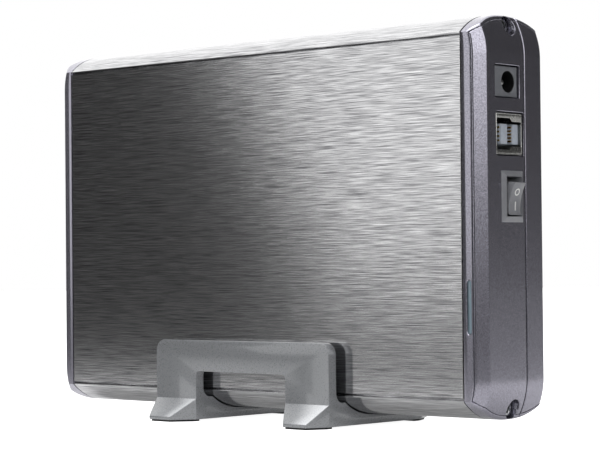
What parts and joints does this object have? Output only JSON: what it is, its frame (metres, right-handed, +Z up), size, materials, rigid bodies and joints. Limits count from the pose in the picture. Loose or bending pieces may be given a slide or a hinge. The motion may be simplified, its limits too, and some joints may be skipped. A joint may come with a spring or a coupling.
{
  "type": "external hard disk drive",
  "caption": "Upright external hard disk drive: brushed aluminium shell, bevelled end caps with power and data sockets and a rocker switch, sliding drive tray, and a U-shaped desk stand.",
  "frame": {"origin": "on the surface that the stand's pads rest on, below the middle of the object's bounding box", "axes": "+X along the shell towards the end with the sockets, +Y through the shell's thickness away from the light bar, +Z up"},
  "size_m": [0.1846, 0.0572, 0.1214],
  "materials": {
    "shell_aluminium": "brushed and anodised grey",
    "cap_plastic": "metallic gunmetal lacquer",
    "stand_plastic": "satin metallic grey",
    "pad_rubber": "matt",
    "screw_steel": "bright zinc plated",
    "lens_acrylic": "clear blue-grey",
    "led_epoxy": "moulded",
    "tray_steel": "zinc plated sheet",
    "board_laminate": "green solder mask",
    "chip_resin": "moulded black resin",
    "capacitor_sleeve": "shrunk sleeve",
    "plated_can": "nickel plated",
    "connector_black": "glass filled nylon",
    "socket_grey": "moulded grey",
    "socket_plate": "tin plated stamping",
    "insulator_pale": "moulded pale blue",
    "contact_gold": "gold flashed",
    "switch_grey": "moulded dark grey",
    "wire_red": "extruded insulation",
    "drive_casting": "die cast and machined",
    "cover_steel": "stamped stainless",
    "gasket_rubber": "moulded",
    "magnet_nickel": "nickel plated",
    "copper_wire": "enamelled copper",
    "ramp_acetal": "moulded natural acetal",
    "flex_polyimide": "film",
    "platter_glass": "sputtered and polished",
    "arm_aluminium": "machined",
    "slider_ceramic": "ground ceramic"
  },
  "bodies": {
    "stand": {"stand_cradle": "stand_plastic", "stand_pads": "pad_rubber"},
    "enclosure": {"shell": "shell_aluminium", "front_end_cap": "cap_plastic", "front_cap_trim": "cap_plastic", "front_cap_screws": "screw_steel"},
    "drawer": {"rear_end_cap": "cap_plastic", "rear_cap_trim": "cap_plastic", "rear_cap_screws": "screw_steel", "led_lens": "lens_acrylic", "power_led": "led_epoxy", "drive_tray": "tray_steel", "tray_screws": "screw_steel", "cap_bracket_screws": "screw_steel", "bridge_board": "board_laminate", "board_screws": "screw_steel", "bridge_chip": "chip_resin", "board_capacitors": "capacitor_sleeve", "board_crystal": "plated_can", "sata_receptacle": "connector_black", "dc_jack": "socket_grey", "dc_jack_pin": "plated_can", "dc_jack_spring": "contact_gold", "usb_shell": "socket_plate", "usb_tongue": "insulator_pale", "usb_contacts": "contact_gold", "switch_housing": "switch_grey", "switch_terminals": "contact_gold", "switch_wires": "wire_red", "drive_base": "drive_casting", "drive_cover": "cover_steel", "cover_screws": "screw_steel", "cover_gasket": "gasket_rubber", "drive_board": "board_laminate", "drive_board_chips": "chip_resin", "drive_board_screws": "screw_steel", "drive_sata_plug": "connector_black", "spindle_motor": "cover_steel", "motor_stator": "copper_wire", "lower_yoke": "magnet_nickel", "lower_magnet": "magnet_nickel", "upper_magnet": "magnet_nickel", "upper_yoke": "magnet_nickel", "pivot_post": "cover_steel", "parking_ramp": "ramp_acetal", "flex_bracket": "connector_black", "flex_ribbon": "flex_polyimide"},
    "rocker": {"rocker": "switch_grey"},
    "disk_stack": {"spindle_hub": "arm_aluminium", "platters": "platter_glass", "platter_spacer": "arm_aluminium", "platter_clamp": "arm_aluminium", "clamp_screws": "screw_steel"},
    "actuator": {"actuator_arm": "arm_aluminium", "head_suspensions": "cover_steel", "head_sliders": "slider_ceramic", "voice_coil": "copper_wire", "pivot_bearing": "cover_steel"}
  },
  "joints": [
    {"name": "lift_off", "type": "slide", "parent": "stand", "child": "enclosure", "axis": [0, 0, 1], "range_m": [0, 0.04]},
    {"name": "tray_pull", "type": "slide", "parent": "enclosure", "child": "drawer", "axis": [1, 0, 0], "range_m": [0, 0.165]},
    {"name": "power_rocker", "type": "hinge", "parent": "drawer", "child": "rocker", "pos_m": [0.08797, -0.00175, 0.06845], "axis": [0, -1, 0], "range_deg": [0, 24]},
    {"name": "spindle_spin", "type": "hinge", "parent": "drawer", "child": "disk_stack", "pos_m": [-0.03051, 0, 0.0626], "axis": [0, 1, 0], "continuous": true},
    {"name": "head_swing", "type": "hinge", "parent": "drawer", "child": "actuator", "pos_m": [0.02849, 0, 0.0466], "axis": [0, -1, 0], "range_deg": [0, 35]}
  ]
}
